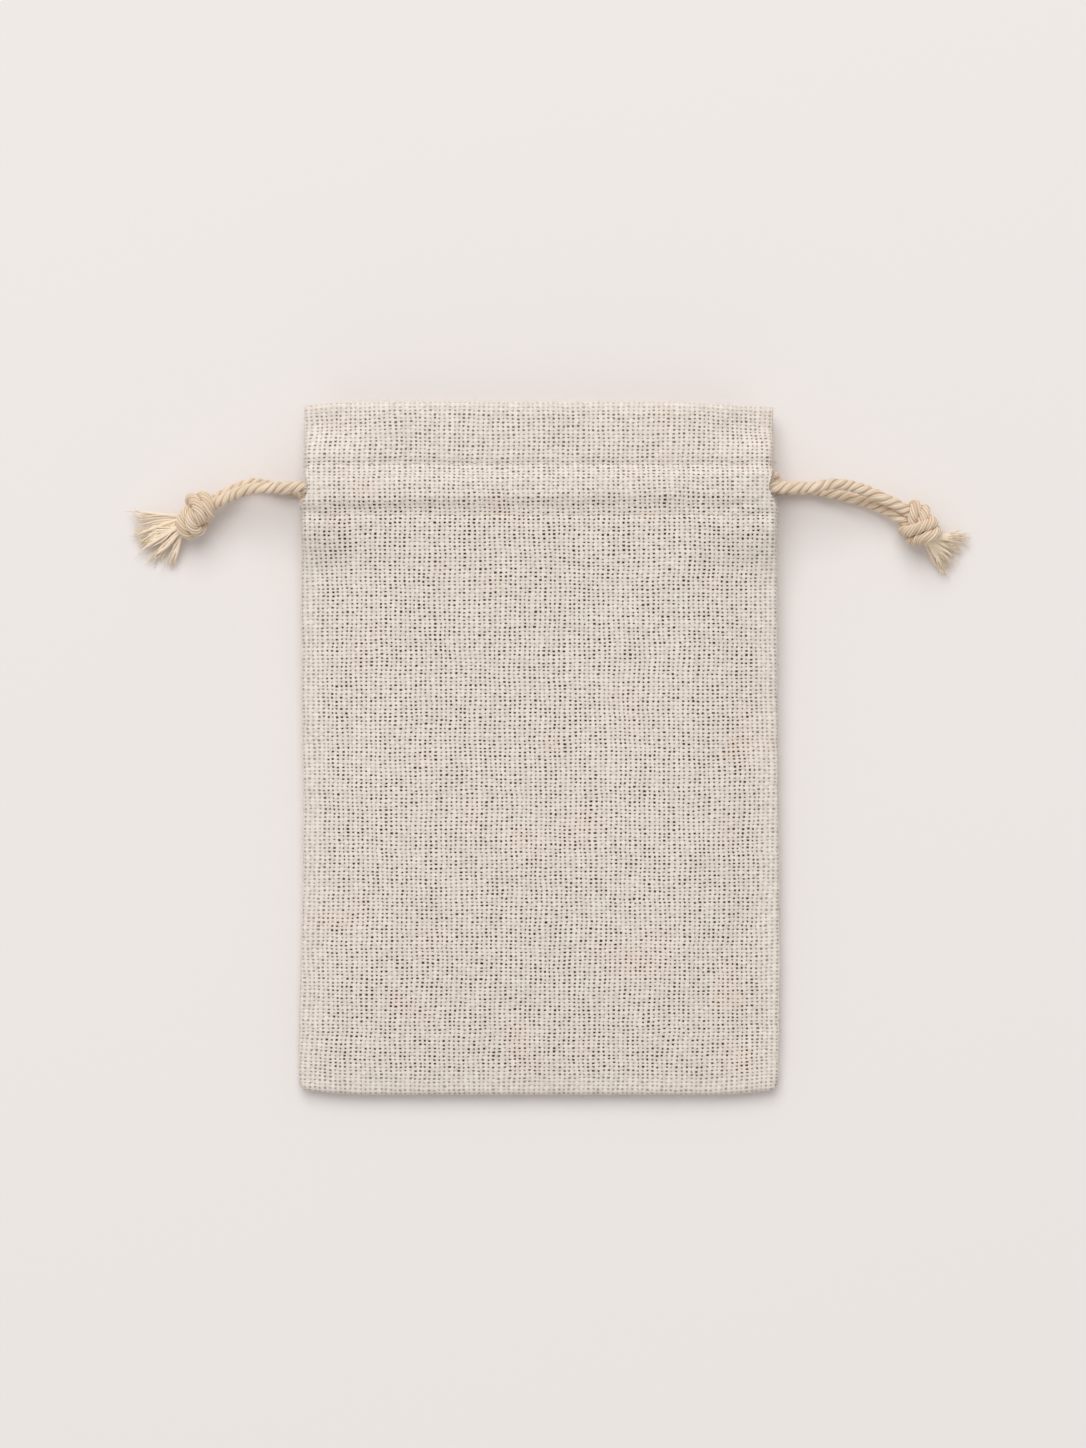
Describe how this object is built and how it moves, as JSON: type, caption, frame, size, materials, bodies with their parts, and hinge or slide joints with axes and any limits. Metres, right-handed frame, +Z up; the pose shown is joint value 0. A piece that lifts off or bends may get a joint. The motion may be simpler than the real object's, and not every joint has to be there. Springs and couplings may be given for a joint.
{
  "type": "jewelry pouch",
  "caption": "Flat linen drawstring pouch with a hemmed casing; knotted, frayed cotton cords slide through it from both sides and the mouth opens at the top.",
  "frame": {"origin": "on the surface the pouch lies on, under the middle of its width and length", "axes": "+Y from the bottom seam towards the mouth, +Z up from the surface through the front panel, +X to the right seen from above"},
  "size_m": [0.1849, 0.148, 0.0122],
  "materials": {
    "linen_cloth": "undyed open plain-weave linen-cotton cloth, matte",
    "sewing_thread": "beige sewing thread, matte",
    "cotton_cord": "undyed twisted cotton cord, matte"
  },
  "bodies": {
    "pouch": {"front_panel": "linen_cloth", "back_panel": "linen_cloth", "front_upper_stitch": "sewing_thread", "front_lower_stitch": "sewing_thread", "back_upper_stitch": "sewing_thread", "back_lower_stitch": "sewing_thread", "left_side_seam": "linen_cloth", "right_side_seam": "linen_cloth", "left_header_seam": "linen_cloth", "right_header_seam": "linen_cloth", "bottom_seam": "linen_cloth"},
    "left_drawcord": {"left_cord_loop": "cotton_cord", "left_front_tail": "cotton_cord", "left_back_tail": "cotton_cord", "left_knot": "cotton_cord", "left_tassel": "cotton_cord"},
    "right_drawcord": {"right_cord_loop": "cotton_cord", "right_front_tail": "cotton_cord", "right_back_tail": "cotton_cord", "right_knot": "cotton_cord", "right_tassel": "cotton_cord"}
  },
  "joints": [
    {"name": "left_cord_slide", "type": "slide", "parent": "pouch", "child": "left_drawcord", "axis": [-1, 0, 0], "range_m": [-0.005, 0.0015]},
    {"name": "right_cord_slide", "type": "slide", "parent": "pouch", "child": "right_drawcord", "axis": [1, 0, 0], "range_m": [-0.005, 0.0015]}
  ]
}
